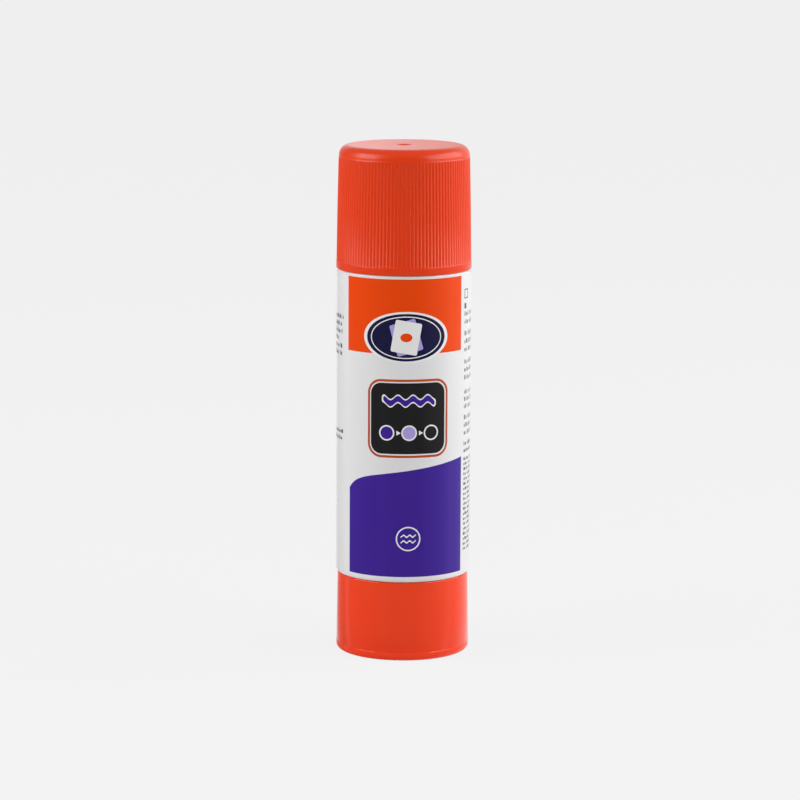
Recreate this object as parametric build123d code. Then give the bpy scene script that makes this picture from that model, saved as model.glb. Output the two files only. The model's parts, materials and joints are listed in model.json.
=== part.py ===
from build123d import *
import math
import os

# All lengths are millimetres and all angles degrees. The stick stands on the XY plane,
# its axis is Z, and the front of its label looks towards -Y.

# Shared values
cut_overrun = 1.0           # how far a cutting body runs past the surface that it cuts
full_turn = 360.0
half_turn = 180.0
back_angle = 90.0           # the back of the stick, seen from above

# Turning knob, the visible grip under the barrel
knob_height = 17.5
knob_inset = 0.22           # top of the grip, inside the barrel's radius
knob_flare = 0.31           # how much wider the foot is than the top
knob_foot_round = 1.0
knob_foot_ring = 2.2        # width of the ring that the stick stands on
knob_recess = 0.8           # how far the middle of the underside is raised
knob_floor = 1.5
knob_edge_round = 0.25
knob_line_height = 1.9      # fine moulded line round the foot of the grip
knob_line_width = 0.24
knob_line_depth = 0.1
boss_wall = 1.8             # of the socket boss for the lead screw
web_count = 6
web_thickness = 1.0
web_height_share = 0.57     # of the depth inside the grip

# Snap collar of the knob, which turns between the two walls of the barrel
turning_gap = 0.1           # between the knob's seat and the barrel's lower edge
collar_gap = 0.2            # running gap to the wall on either side
collar_height = 7.5
collar_bead_share = 0.53    # middle of the bead, as a share of the collar's height
collar_bead_half = 0.6
collar_bead_size = 0.35
bead_gap = 0.15             # round the bead in its groove

# Barrel, one moulding with an outer wall, a shoulder and an inner tube with the neck
barrel_radius = 14.58
barrel_length = 67.05
outer_wall = 1.1
wall_space = 1.23           # between the outer wall and the inner tube
shoulder_thickness = 1.4
shoulder_round = 0.3
tube_wall = 1.1
tube_rise = 1.5             # inner tube starts this far above the knob's seat
neck_height = 12.0
neck_lip_round = 0.4
neck_bead_height = 4.6      # middle of the cap's snap bead, above the shoulder
neck_bead_half = 0.8
neck_bead_size = 0.25
guide_count = 4             # ribs that stop the carrier from turning
guide_width = 1.2
guide_size = 0.6
guide_end_drop = 3.0        # guides end this far below the mouth

# Label, a thin wrap with its seam at the back
label_thickness = 0.1
label_glue_gap = 0.02
label_bottom_margin = 0.5
label_top_margin = 0.45
label_seam = 0.4

# Lead screw, pressed into the knob, with a left-hand two-start thread
thread_starts = 2
thread_pitch = 3.0
thread_radius = 3.2
thread_depth = 0.9
thread_crest_share = 0.27   # width of a thread's flat top, as a share of the pitch
thread_flank_share = 0.17   # run of each sloping flank, as a share of the pitch
screw_cover = 4.4           # glue above the tip of the screw
screw_tip_chamfer = 0.8
screw_flange_lip = 1.2      # how far the flange stands out past the thread
screw_flange_thickness = 1.2
screw_neck = 1.0            # plain length between flange and thread
shank_sides = 6
shank_flats = 5.0           # width across the flats of the shank
shank_length_share = 0.75   # of the depth inside the grip
shank_gap = 0.02
shank_end_gap = 0.3

# Carrier, the threaded cup that lifts the glue
stop_gap = 0.3              # between the screw's flange and the carrier at its lowest
hub_wall = 1.8              # outside the thread
hub_drop = 7.0              # hub length below the cup's floor
hub_rise = 3.0              # hub length above the cup's floor
hub_relief = 2.7            # plain length above the hub's thread
cup_floor = 1.2
cup_depth = 5.5
cup_wall = 0.8
cup_side_gap = 0.15
skirt_drop = 4.0            # guiding skirt below the cup's floor
guide_gap = 0.2             # between a guide rib and its notch
flank_gap = 0.2             # axial play between the threads
thread_gap = 0.2            # radial play between the threads
fin_count = 4               # fins that key the cup into the glue
fin_thickness = 0.8
fin_height = 3.6
fin_root = 0.8              # how far a fin reaches into the hub

# Glue stick proper
glue_recess = 6.2           # top of the glue below the mouth of the neck
glue_side_gap = 0.15
glue_seat_gap = 0.05
glue_edge_round = 0.9
glue_crown = 0.5
glue_screw_gap = 0.4

# Cap, with vertical ribs between a plain lip and a rounded crown
cap_seat_gap = 0.05
cap_headroom = 13.45        # from the mouth of the neck to the inside of the crown
cap_overhang = 0.19         # of the lip past the barrel
cap_lip_height = 2.2
cap_lip_round = 0.3
cap_lip_step = 0.06         # from the lip in to the ribs
cap_taper = 0.4             # from the foot of the ribs to the crown
crown_round = 2.3
crown_thickness = 1.5
crown_inner_round = 1.0
cap_wall = 1.15
rib_count = 116
rib_depth = 0.28
rib_top_drop = 3.0          # ribs end this far below the crown
groove_mouth_share = 0.56   # of the distance from rib to rib
groove_floor_share = 0.33
dimple_radius = 1.55
dimple_depth = 0.32
dimple_slope = 0.85
pip_radius = 0.35           # gate mark inside the dimple
pip_height = 0.1
snap_gap = 0.1              # between the neck's bead and everything inside the cap
snap_ring_height = 2.3      # middle of the cap's snap ring, above its rim
snap_ring_half = 0.9
cap_guide_count = 8
cap_guide_width = 0.9
cap_guide_rise = 4.2        # guides start this far above the rim
cap_guide_length = 9.0
socket_depth = 3.0          # ring under the crown that holds the liner
socket_wall = 1.0

# Liner in the cap, which plugs the mouth of the neck
plug_gap = 0.1
plug_depth = 1.8
liner_wall = 0.8
liner_top = 0.8
liner_seat_gap = 0.02
liner_socket_gap = 0.05
liner_lip_chamfer = 0.4

# Heights and radii that follow from the sizes above
barrel_bottom = knob_height + turning_gap
shoulder_top = barrel_bottom + barrel_length
neck_top = shoulder_top + neck_height
outer_wall_inside = barrel_radius - outer_wall
neck_radius = outer_wall_inside - wall_space
tube_bore_radius = neck_radius - tube_wall
tube_bottom = knob_height + tube_rise
collar_outer_radius = outer_wall_inside - collar_gap
collar_inner_radius = neck_radius + collar_gap
knob_top_radius = barrel_radius - knob_inset
knob_bottom_radius = knob_top_radius + knob_flare
knob_floor_top = knob_recess + knob_floor
knob_depth = knob_height - knob_floor_top
shank_length = knob_depth * shank_length_share
boss_radius = shank_flats / 2 / math.cos(math.pi / shank_sides) + boss_wall
collar_bead_middle = knob_height + collar_height * collar_bead_share
screw_flange_top = knob_height + screw_flange_thickness
thread_lead = thread_starts * thread_pitch
thread_root_radius = thread_radius - thread_depth
thread_crest = thread_pitch * thread_crest_share
thread_flank = thread_pitch * thread_flank_share
hub_radius = thread_radius + thread_gap + hub_wall
carrier_bottom = screw_flange_top + stop_gap
cup_floor_bottom = carrier_bottom + hub_drop
cup_floor_top = cup_floor_bottom + cup_floor
cup_rim = cup_floor_top + cup_depth
cup_outer_radius = tube_bore_radius - cup_side_gap
cup_inner_radius = cup_outer_radius - cup_wall
glue_bottom = cup_floor_top + glue_seat_gap
glue_top = neck_top - glue_recess
screw_top = glue_top - screw_cover
cap_rim = shoulder_top + cap_seat_gap
crown_inside = neck_top + cap_headroom
cap_top = crown_inside + crown_thickness
ribs_bottom = cap_rim + cap_lip_height
ribs_top = cap_top - rib_top_drop
cap_lip_radius = barrel_radius + cap_overhang
cap_base_radius = cap_lip_radius - cap_lip_step
cap_top_radius = cap_base_radius - cap_taper
rib_pitch = 2 * math.pi * cap_top_radius / rib_count
groove_mouth = rib_pitch * groove_mouth_share
groove_floor = rib_pitch * groove_floor_share
cap_bore_at_rim = cap_base_radius - rib_depth - cap_wall
cap_bore_at_crown = cap_top_radius - rib_depth - cap_wall
neck_bead_radius = neck_radius + neck_bead_size
cap_guide_radius = neck_bead_radius + snap_gap
liner_radius = tube_bore_radius - plug_gap
liner_bottom = neck_top - plug_depth
liner_socket_radius = liner_radius + liner_socket_gap


# Solid of revolution round Z. Each corner is radius, height and, if rounded, its round.
def turned(*corners):
    points = [(corner[0], corner[1]) for corner in corners]
    rounds = [corner[2] if len(corner) > 2 else 0 for corner in corners]
    outline = FilletPolyline(*points, radius=rounds, close=True)
    return revolve(Plane.XZ * make_face(outline), Axis.Z)


# Ring of trapezoid section: its foot on one radius and its narrower top on another.
def bead_ring(foot_radius, top_radius, middle, half_height):
    top_half = half_height / 2
    return turned(
        (foot_radius, middle - half_height),
        (top_radius, middle - top_half),
        (top_radius, middle + top_half),
        (foot_radius, middle + half_height),
    )


# Upright block that reaches from one radius to another, facing along +X.
def radial_block(inner_radius, outer_radius, width, bottom, top):
    block = Box(
        outer_radius - inner_radius,
        width,
        top - bottom,
        align=(Align.MIN, Align.CENTER, Align.MIN),
    )
    return Pos(inner_radius, 0, bottom) * block


def around(shape, count):
    return [Rot(0, 0, index * full_turn / count) * shape for index in range(count)]


def upright_disc(radius, bottom, top):
    disc = Cylinder(radius, top - bottom, align=(Align.CENTER, Align.CENTER, Align.MIN))
    return Pos(0, 0, bottom) * disc


# Cross-section of the thread: each start is a crest arc, a flank, a root arc and a flank.
def thread_section(crest_radius, root_radius, crest_width, flank_width):
    degrees_per_mm = full_turn / thread_lead
    crest_half = crest_width / 2 * degrees_per_mm
    flank_angle = flank_width * degrees_per_mm
    start_step = full_turn / thread_starts
    lines = []
    for start in range(thread_starts):
        middle = start * start_step
        crest_end = middle + crest_half
        root_begin = crest_end + flank_angle
        root_end = middle + start_step - crest_half - flank_angle
        next_crest = middle + start_step - crest_half
        crest = CenterArc((0, 0), crest_radius, middle - crest_half, 2 * crest_half)
        root = CenterArc((0, 0), root_radius, root_begin, root_end - root_begin)
        lines.append(crest)
        lines.append(Line(polar(crest_radius, crest_end), polar(root_radius, root_begin)))
        lines.append(root)
        lines.append(Line(polar(root_radius, root_end), polar(crest_radius, next_crest)))
    return make_face(lines)


def polar(radius, angle):
    turn = math.radians(angle)
    return (radius * math.cos(turn), radius * math.sin(turn))


# Left-hand thread from one height to another. Its angle depends on the height alone,
# so two threads of different lengths are always in step.
def thread_body(section, bottom, top):
    length = top - bottom
    start_angle = -full_turn * bottom / thread_lead
    twist = -full_turn * length / thread_lead
    placed = Pos(0, 0, bottom) * Rot(0, 0, start_angle) * section
    return Solid.extrude_linear_with_rotation(
        placed.face(), (0, 0, bottom), (0, 0, length), twist
    )


def make_knob():
    foot_inner = knob_bottom_radius - knob_foot_ring
    collar_top = knob_height + collar_height
    body = turned(
        (0, knob_recess),
        (foot_inner - knob_recess, knob_recess),
        (foot_inner, 0),
        (knob_bottom_radius, 0, knob_foot_round),
        (knob_top_radius, knob_height, knob_edge_round),
        (collar_outer_radius, knob_height),
        (collar_outer_radius, collar_top, knob_edge_round),
        (collar_inner_radius, collar_top, knob_edge_round),
        (collar_inner_radius, knob_floor_top),
        (0, knob_floor_top),
    )
    bead_radius = collar_outer_radius + collar_bead_size
    body += bead_ring(
        collar_outer_radius, bead_radius, collar_bead_middle, collar_bead_half
    )
    body += upright_disc(boss_radius, knob_floor_top, knob_height)
    web_end = (collar_outer_radius + collar_inner_radius) / 2
    web_top = knob_floor_top + knob_depth * web_height_share
    web = radial_block(boss_radius / 2, web_end, web_thickness, knob_floor_top, web_top)
    body += around(web, web_count)
    socket_bottom = knob_height - shank_length - shank_end_gap
    socket = RegularPolygon(
        shank_flats / 2 + shank_gap, side_count=shank_sides, major_radius=False
    )
    body -= Pos(0, 0, socket_bottom) * extrude(socket, knob_height - socket_bottom)
    line_radius = knob_bottom_radius - knob_line_depth
    line_half = knob_line_width / 2
    body -= turned(
        (line_radius, knob_line_height),
        (knob_bottom_radius + cut_overrun, knob_line_height - line_half),
        (knob_bottom_radius + cut_overrun, knob_line_height + line_half),
    )
    return body


def make_screw():
    shank_bottom = knob_height - shank_length
    shank = RegularPolygon(shank_flats / 2, side_count=shank_sides, major_radius=False)
    thread_bottom = screw_flange_top + screw_neck
    section = thread_section(thread_radius, thread_root_radius, thread_crest, thread_flank)
    thread = thread_body(section, thread_bottom, screw_top)
    tip_radius = thread_radius - screw_tip_chamfer
    envelope = turned(
        (0, thread_bottom - cut_overrun),
        (thread_root_radius, thread_bottom - cut_overrun),
        (thread_radius + cut_overrun, thread_bottom + thread_depth),
        (thread_radius + cut_overrun, screw_top - screw_tip_chamfer - cut_overrun),
        (tip_radius, screw_top),
        (0, screw_top),
    )
    body = Pos(0, 0, shank_bottom) * extrude(shank, shank_length)
    flange_radius = thread_radius + screw_flange_lip
    body += upright_disc(flange_radius, knob_height, screw_flange_top)
    body += upright_disc(thread_root_radius, screw_flange_top, thread_bottom)
    body += thread & envelope
    return body


def make_carrier():
    skirt_bottom = cup_floor_bottom - skirt_drop
    hub_top = cup_floor_top + hub_rise
    thread_top = hub_top - hub_relief
    clear_radius = thread_radius + glue_screw_gap
    body = turned(
        (cup_inner_radius, skirt_bottom),
        (cup_outer_radius, skirt_bottom),
        (cup_outer_radius, cup_rim),
        (cup_inner_radius, cup_rim),
        (cup_inner_radius, cup_floor_top),
        (0, cup_floor_top),
        (0, cup_floor_bottom),
        (cup_inner_radius, cup_floor_bottom),
    )
    body += upright_disc(hub_radius, carrier_bottom, hub_top)
    fin_end = (cup_inner_radius + cup_outer_radius) / 2
    fin_top = cup_floor_top + fin_height
    fin_start = hub_radius - fin_root
    fin = radial_block(fin_start, fin_end, fin_thickness, cup_floor_top, fin_top)
    body += between_guides(fin)
    body -= upright_disc(clear_radius, thread_top, hub_top + cut_overrun)
    section = thread_section(
        thread_radius + thread_gap,
        thread_root_radius + thread_gap,
        thread_crest + 2 * flank_gap,
        thread_flank,
    )
    body -= thread_body(section, carrier_bottom - cut_overrun, thread_top + cut_overrun)
    body -= guide_notches(skirt_bottom - cut_overrun, cup_rim + cut_overrun)
    return body


# Copies of a fin or of its slot, which start midway between two guide ribs.
def between_guides(shape):
    half_step = half_turn / guide_count
    return [Rot(0, 0, half_step) * copy for copy in around(shape, fin_count)]


# Slots that clear the guide ribs of the tube on all sides by one gap.
def guide_notches(bottom, top):
    notch_floor = tube_bore_radius - guide_size - guide_gap
    notch_mouth = tube_bore_radius + cut_overrun
    notch_width = guide_width + 2 * guide_gap
    return around(radial_block(notch_floor, notch_mouth, notch_width, bottom, top), guide_count)


def make_glue():
    body_radius = tube_bore_radius - glue_side_gap
    seat_radius = cup_inner_radius - glue_seat_gap
    hub_top = cup_floor_top + hub_rise
    edge_height = glue_top - glue_crown
    body = turned(
        (0, glue_bottom),
        (seat_radius, glue_bottom),
        (seat_radius, cup_rim + glue_seat_gap),
        (body_radius, cup_rim + glue_seat_gap),
        (body_radius, edge_height, glue_edge_round),
        (0, glue_top),
    )
    body -= upright_disc(
        hub_radius + glue_seat_gap, glue_bottom - cut_overrun, hub_top + glue_seat_gap
    )
    body -= upright_disc(
        thread_radius + glue_screw_gap, glue_bottom, screw_top + glue_screw_gap
    )
    body -= guide_notches(glue_bottom - cut_overrun, glue_top + cut_overrun)
    slot_start = hub_radius - fin_root - glue_seat_gap
    slot_width = fin_thickness + 2 * glue_seat_gap
    slot_bottom = glue_bottom - cut_overrun
    slot_top = cup_floor_top + fin_height + glue_seat_gap
    slot = radial_block(slot_start, cup_outer_radius, slot_width, slot_bottom, slot_top)
    body -= between_guides(slot)
    return body


def make_barrel():
    shoulder_bottom = shoulder_top - shoulder_thickness
    body = turned(
        (outer_wall_inside, barrel_bottom),
        (barrel_radius, barrel_bottom, shoulder_round),
        (barrel_radius, shoulder_top, shoulder_round),
        (neck_radius, shoulder_top),
        (neck_radius, neck_top, neck_lip_round),
        (tube_bore_radius, neck_top, neck_lip_round),
        (tube_bore_radius, tube_bottom),
        (neck_radius, tube_bottom),
        (neck_radius, shoulder_bottom),
        (outer_wall_inside, shoulder_bottom),
    )
    body += bead_ring(
        neck_radius, neck_bead_radius, shoulder_top + neck_bead_height, neck_bead_half
    )
    groove_half = collar_bead_half + bead_gap
    groove_radius = collar_outer_radius + collar_bead_size + bead_gap
    body -= bead_ring(outer_wall_inside, groove_radius, collar_bead_middle, groove_half)
    guide = radial_block(
        tube_bore_radius - guide_size,
        (tube_bore_radius + neck_radius) / 2,
        guide_width,
        tube_bottom,
        neck_top - guide_end_drop,
    )
    body += around(guide, guide_count)
    return body


def make_label():
    inner_radius = barrel_radius + label_glue_gap
    outer_radius = inner_radius + label_thickness
    bottom = barrel_bottom + label_bottom_margin
    top = shoulder_top - label_top_margin
    wrap = upright_disc(outer_radius, bottom, top)
    wrap -= upright_disc(inner_radius, bottom - cut_overrun, top + cut_overrun)
    seam = radial_block(
        0, outer_radius + cut_overrun, label_seam, bottom - cut_overrun, top + cut_overrun
    )
    wrap -= Rot(0, 0, back_angle) * seam
    return wrap


# One groove between two ribs, with a taper that follows the side of the cap.
def cap_groove():
    def groove_face(crest_radius, height):
        root_radius = crest_radius - rib_depth
        mouth_radius = crest_radius + cut_overrun
        spread = (groove_mouth - groove_floor) / rib_depth
        mouth_half = (groove_floor + spread * (mouth_radius - root_radius)) / 2
        floor_half = groove_floor / 2
        corners = [
            (root_radius, -floor_half, height),
            (mouth_radius, -mouth_half, height),
            (mouth_radius, mouth_half, height),
            (root_radius, floor_half, height),
        ]
        return make_face(Polyline(*corners, close=True))

    return loft(
        [groove_face(cap_base_radius, ribs_bottom), groove_face(cap_top_radius, ribs_top)],
        ruled=True,
    )


def make_cap():
    step = cap_lip_radius - cap_base_radius
    body = turned(
        (0, crown_inside),
        (cap_bore_at_crown, crown_inside, crown_inner_round),
        (cap_bore_at_rim, cap_rim),
        (cap_lip_radius, cap_rim, cap_lip_round),
        (cap_lip_radius, ribs_bottom - step),
        (cap_base_radius, ribs_bottom),
        (cap_top_radius, cap_top, crown_round),
        (dimple_radius, cap_top),
        (dimple_radius - dimple_slope, cap_top - dimple_depth),
        (pip_radius, cap_top - dimple_depth),
        (pip_radius, cap_top - dimple_depth + pip_height),
        (0, cap_top - dimple_depth + pip_height),
    )
    ring_foot = cap_bore_at_rim + cap_wall / 2
    ring = bead_ring(cap_guide_radius, ring_foot, cap_rim + snap_ring_height, snap_ring_half)
    body += ring
    guide_bottom = cap_rim + cap_guide_rise
    guide = radial_block(
        cap_guide_radius,
        ring_foot,
        cap_guide_width,
        guide_bottom,
        guide_bottom + cap_guide_length,
    )
    body += around(guide, cap_guide_count)
    socket = upright_disc(
        liner_socket_radius + socket_wall, crown_inside - socket_depth, crown_inside
    )
    socket -= upright_disc(
        liner_socket_radius, crown_inside - socket_depth - cut_overrun, crown_inside
    )
    body += socket
    body -= around(cap_groove(), rib_count)
    return body


def make_liner():
    top = crown_inside - liner_seat_gap
    inner_radius = liner_radius - liner_wall
    return turned(
        (0, top - liner_top),
        (inner_radius, top - liner_top),
        (inner_radius, liner_bottom),
        (liner_radius - liner_lip_chamfer, liner_bottom),
        (liner_radius, liner_bottom + liner_lip_chamfer),
        (liner_radius, top),
        (0, top),
    )


pieces = {
    "knob": make_knob,
    "lead_screw": make_screw,
    "glue_carrier": make_carrier,
    "glue_slug": make_glue,
    "barrel": make_barrel,
    "label": make_label,
    "cap": make_cap,
    "cap_liner": make_liner,
}

os.makedirs("parts", exist_ok=True)
for name, make_piece in pieces.items():
    export_step(make_piece(), f"parts/{name}.step")
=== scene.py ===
import json
import math

import bpy
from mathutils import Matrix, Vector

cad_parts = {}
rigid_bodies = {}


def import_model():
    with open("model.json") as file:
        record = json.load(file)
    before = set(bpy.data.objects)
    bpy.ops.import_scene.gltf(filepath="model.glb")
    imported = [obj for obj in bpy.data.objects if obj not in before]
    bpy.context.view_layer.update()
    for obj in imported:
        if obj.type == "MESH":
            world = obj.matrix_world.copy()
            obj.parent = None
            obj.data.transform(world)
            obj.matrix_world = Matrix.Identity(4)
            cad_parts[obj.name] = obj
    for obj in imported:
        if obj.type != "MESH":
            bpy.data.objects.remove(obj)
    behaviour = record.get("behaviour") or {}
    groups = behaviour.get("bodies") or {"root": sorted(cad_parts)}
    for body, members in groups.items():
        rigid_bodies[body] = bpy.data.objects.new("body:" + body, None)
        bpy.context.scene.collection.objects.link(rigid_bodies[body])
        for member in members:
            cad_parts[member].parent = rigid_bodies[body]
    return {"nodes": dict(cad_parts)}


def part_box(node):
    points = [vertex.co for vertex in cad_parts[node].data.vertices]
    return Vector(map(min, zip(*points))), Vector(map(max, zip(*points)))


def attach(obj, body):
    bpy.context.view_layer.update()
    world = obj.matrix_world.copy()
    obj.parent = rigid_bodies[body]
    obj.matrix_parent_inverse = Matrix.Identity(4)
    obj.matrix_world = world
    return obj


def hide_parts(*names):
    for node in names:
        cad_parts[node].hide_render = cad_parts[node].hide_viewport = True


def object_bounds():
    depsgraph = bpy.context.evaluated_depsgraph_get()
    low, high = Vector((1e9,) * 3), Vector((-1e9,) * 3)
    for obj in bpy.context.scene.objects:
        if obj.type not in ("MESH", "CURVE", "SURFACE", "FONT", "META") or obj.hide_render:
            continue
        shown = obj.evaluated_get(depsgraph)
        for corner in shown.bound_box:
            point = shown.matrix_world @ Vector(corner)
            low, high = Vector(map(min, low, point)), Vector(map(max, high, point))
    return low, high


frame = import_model()
cadLow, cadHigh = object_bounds()
cadNodes = frame["nodes"]

mm = 0.001          # sizes below are in millimetres, and Blender's in metres
hair = 0.002        # closer than this is the same place
circleSteps = 240   # columns of the smooth turned pieces
creaseAngle = 38    # degrees; a sharper edge stays a crease


def spanOf(node):
    # how far a CAD node reaches from the axis, its foot and its top
    low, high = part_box(node)
    return high[0] / mm, low[2] / mm, high[2] / mm


capReach, capFoot, capTop = spanOf("cap")
knobReach, _, knobTop = spanOf("knob")
barrelReach, barrelFoot, barrelTop = spanOf("barrel")
labelReach, labelFoot, labelTop = spanOf("label")
_, glueFoot, glueTop = spanOf("glue_slug")
print("frame loaded")


# Working in Blender as by hand

def deselectAll():
    if bpy.context.mode != "OBJECT":
        bpy.ops.object.mode_set(mode="OBJECT")
    bpy.ops.object.select_all(action="DESELECT")


def nameIt(name):
    piece = bpy.context.object
    piece.name = name
    piece.data.name = name
    return piece


def radiusOf(place):
    return math.hypot(place.x, place.y) / mm


def selectPoints(piece, wanted):
    # picks points by their place and leaves the piece in edit mode
    bpy.ops.object.mode_set(mode="OBJECT")
    mesh = piece.data
    mesh.edges.foreach_set("select", [False] * len(mesh.edges))
    mesh.polygons.foreach_set("select", [False] * len(mesh.polygons))
    mesh.vertices.foreach_set("select", [bool(wanted(point.co)) for point in mesh.vertices])
    bpy.ops.object.mode_set(mode="EDIT")
    bpy.ops.mesh.select_mode(type="VERT")


def selectFaces(piece, wanted):
    bpy.ops.object.mode_set(mode="EDIT")
    bpy.ops.mesh.select_mode(type="FACE")
    bpy.ops.mesh.select_all(action="DESELECT")
    bpy.ops.object.mode_set(mode="OBJECT")
    for face in piece.data.polygons:
        face.select = bool(wanted(face.center))
    bpy.ops.object.mode_set(mode="EDIT")


def drawIn(share):
    # moves what is selected towards the axis, or away from it above 1
    bpy.ops.transform.resize(value=(share, share, 1), center_override=(0, 0, 0))


def growRings(ring, route):
    # extrudes the selected ring from one radius and height to the next
    radius, height = ring
    for nextRadius, nextHeight in route:
        rise = (nextHeight - height) * mm
        bpy.ops.mesh.extrude_region_move(TRANSFORM_OT_translate={"value": (0, 0, rise)})
        share = nextRadius / radius
        bpy.ops.transform.resize(value=(share, share, 1), center_override=(0, 0, nextHeight * mm))
        radius, height = nextRadius, nextHeight


def turnPiece(name, columns, ring, routes):
    # a ring is a circle's radius and height; each route ends on the axis or at the first ring
    deselectAll()
    radius, height = ring
    bpy.ops.mesh.primitive_circle_add(
        vertices=columns, radius=radius * mm, location=(0, 0, height * mm)
    )
    piece = nameIt(name)
    bpy.ops.object.transform_apply(location=True, rotation=True, scale=True)
    for route in routes:
        selectPoints(
            piece,
            lambda place: abs(place.z / mm - height) < hair
            and abs(radiusOf(place) - radius) < hair,
        )
        growRings(ring, route)
    closeUp()
    return piece


def closeUp():
    # merges poles and seams, then turns every face outwards
    bpy.ops.mesh.select_all(action="SELECT")
    bpy.ops.mesh.remove_doubles(threshold=hair * mm)
    bpy.ops.mesh.normals_make_consistent(inside=False)
    bpy.ops.object.mode_set(mode="OBJECT")


def arc(centreRadius, centreHeight, size, fromAngle, toAngle, steps):
    # round corner of an outline; 0 degrees points outwards and 90 up
    ring = []
    for step in range(steps + 1):
        turn = math.radians(fromAngle + (toAngle - fromAngle) * step / steps)
        ring.append((centreRadius + size * math.cos(turn), centreHeight + size * math.sin(turn)))
    return ring


def smoothOver(piece):
    deselectAll()
    piece.select_set(True)
    bpy.context.view_layer.objects.active = piece
    bpy.ops.object.shade_smooth_by_angle(angle=math.radians(creaseAngle))


def feed(tree, value, socket):
    # a value is a number or another node's output
    if isinstance(value, (int, float)):
        socket.default_value = value
    else:
        tree.links.new(value, socket)


def addMath(tree, operation, first, second):
    node = tree.nodes.new("ShaderNodeMath")
    node.operation = operation
    feed(tree, first, node.inputs[0])
    feed(tree, second, node.inputs[1])
    return node.outputs[0]


# Camera and stage

view = {
    "lens": 154.886,
    "sensorWidth": 36,
    "place": (-0.71, -744.9, 182.3),
    "tiltDown": 9.671,                   # degrees, as the roll
    "roll": 0.269,
    "nearest": 10,
    "farthest": 20000,
}


def makeCamera():
    deselectAll()
    bpy.ops.object.camera_add(location=[length * mm for length in view["place"]])
    camera = bpy.context.object
    camera.name = "photoCamera"
    camera.rotation_mode = "ZYX"
    camera.rotation_euler = (math.radians(90 - view["tiltDown"]), 0, math.radians(view["roll"]))
    camera.data.lens = view["lens"]
    camera.data.sensor_width = view["sensorWidth"]
    camera.data.clip_start = view["nearest"] * mm
    camera.data.clip_end = view["farthest"] * mm
    bpy.context.scene.camera = camera


stage = {
    "floorSize": 6.0,                    # metres
    "backgroundTone": 0.886,
    "floorTone": 0.80,
    "glowTone": 0.905,
    "glowShare": 0.94,                   # how much of the floor's tone the camera sees unshaded
    "skyStrength": 0.246,
    # the room that gloss mirrors, as degrees round from the front and tone: dark in front,
    # pale behind, with a narrow window on the left and a broader one on the right
    "room": (
        (-180, 1.80), (-168, 1.05), (-150, 0.42), (-140, 0.26), (-126, 0.14), (-121, 0.16),
        (-117, 0.52), (-111, 0.52), (-107, 0.16), (-95, 0.10), (-60, 0.06), (-48, 0.02),
        (-36, 0.12), (-28, 0.05), (0, 0.05), (11, 0.10), (20, 0.05), (30, 0.02), (40, 0.14),
        (60, 0.20), (76, 0.34), (84, 0.50), (87, 0.66), (92, 0.66), (96, 0.50), (103, 0.48),
        (112, 0.66), (128, 0.90), (142, 1.00), (170, 1.10), (180, 1.80),
    ),
    "overhead": 0.55,                    # tone straight above
    "overheadFrom": 0.30,                # it blends in from this slope, where 1 is straight up
    "overheadTo": 0.85,                  # and is full from this one
}


def smoothStep(tree, value, low, high):
    # 0 below low, 1 above high and a smooth step between them
    step = tree.nodes.new("ShaderNodeMapRange")
    step.interpolation_type = "SMOOTHSTEP"
    step.inputs["From Min"].default_value = low
    step.inputs["From Max"].default_value = high
    tree.links.new(value, step.inputs["Value"])
    return step.outputs["Result"]


def roomTone(tree):
    towards = tree.nodes.new("ShaderNodeTexCoord").outputs["Generated"]
    parts = tree.nodes.new("ShaderNodeSeparateXYZ")
    tree.links.new(towards, parts.inputs[0])
    ahead = addMath(tree, "MULTIPLY", parts.outputs["Y"], -1)
    bearing = addMath(tree, "ARCTAN2", parts.outputs["X"], ahead)
    share = addMath(tree, "MULTIPLY", bearing, 1 / math.tau)
    share = addMath(tree, "ADD", share, 0.5)
    room = tree.nodes.new("ShaderNodeValToRGB")
    tree.links.new(share, room.inputs["Fac"])
    stops = room.color_ramp.elements
    for index, (degrees, tone) in enumerate(stage["room"]):
        place = degrees / 360 + 0.5
        stop = stops[0] if index == 0 else stops.new(place)
        stop.position = place
        stop.color = (tone, tone, tone, 1)
    stops.remove(stops[-1])
    up = smoothStep(tree, parts.outputs["Z"], stage["overheadFrom"], stage["overheadTo"])
    blend = tree.nodes.new("ShaderNodeMix")
    blend.inputs["B"].default_value = stage["overhead"]
    tree.links.new(up, blend.inputs["Factor"])
    tree.links.new(room.outputs["Color"], blend.inputs["A"])
    return blend.outputs["Result"]


def makeFloor():
    deselectAll()
    bpy.ops.mesh.primitive_plane_add(size=stage["floorSize"], location=(0, 0, 0))
    floor = nameIt("floor")
    material = bpy.data.materials.new("paleFloor")
    material.use_nodes = True
    nodes = material.node_tree.nodes
    nodes.clear()
    paint = nodes.new("ShaderNodeBsdfDiffuse")
    paint.inputs["Color"].default_value = (stage["floorTone"],) * 3 + (1,)
    glow = nodes.new("ShaderNodeEmission")
    glow.inputs["Color"].default_value = (stage["glowTone"],) * 3 + (1,)
    seen = nodes.new("ShaderNodeLightPath")
    share = addMath(
        material.node_tree, "MULTIPLY", seen.outputs["Is Camera Ray"], stage["glowShare"]
    )
    cameraMix = nodes.new("ShaderNodeMixShader")
    output = nodes.new("ShaderNodeOutputMaterial")
    wire = material.node_tree.links.new
    wire(share, cameraMix.inputs["Fac"])
    wire(paint.outputs["BSDF"], cameraMix.inputs[1])
    wire(glow.outputs["Emission"], cameraMix.inputs[2])
    wire(cameraMix.outputs["Shader"], output.inputs["Surface"])
    floor.data.materials.append(material)
    floor.visible_glossy = False         # gloss mirrors the room instead


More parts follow.
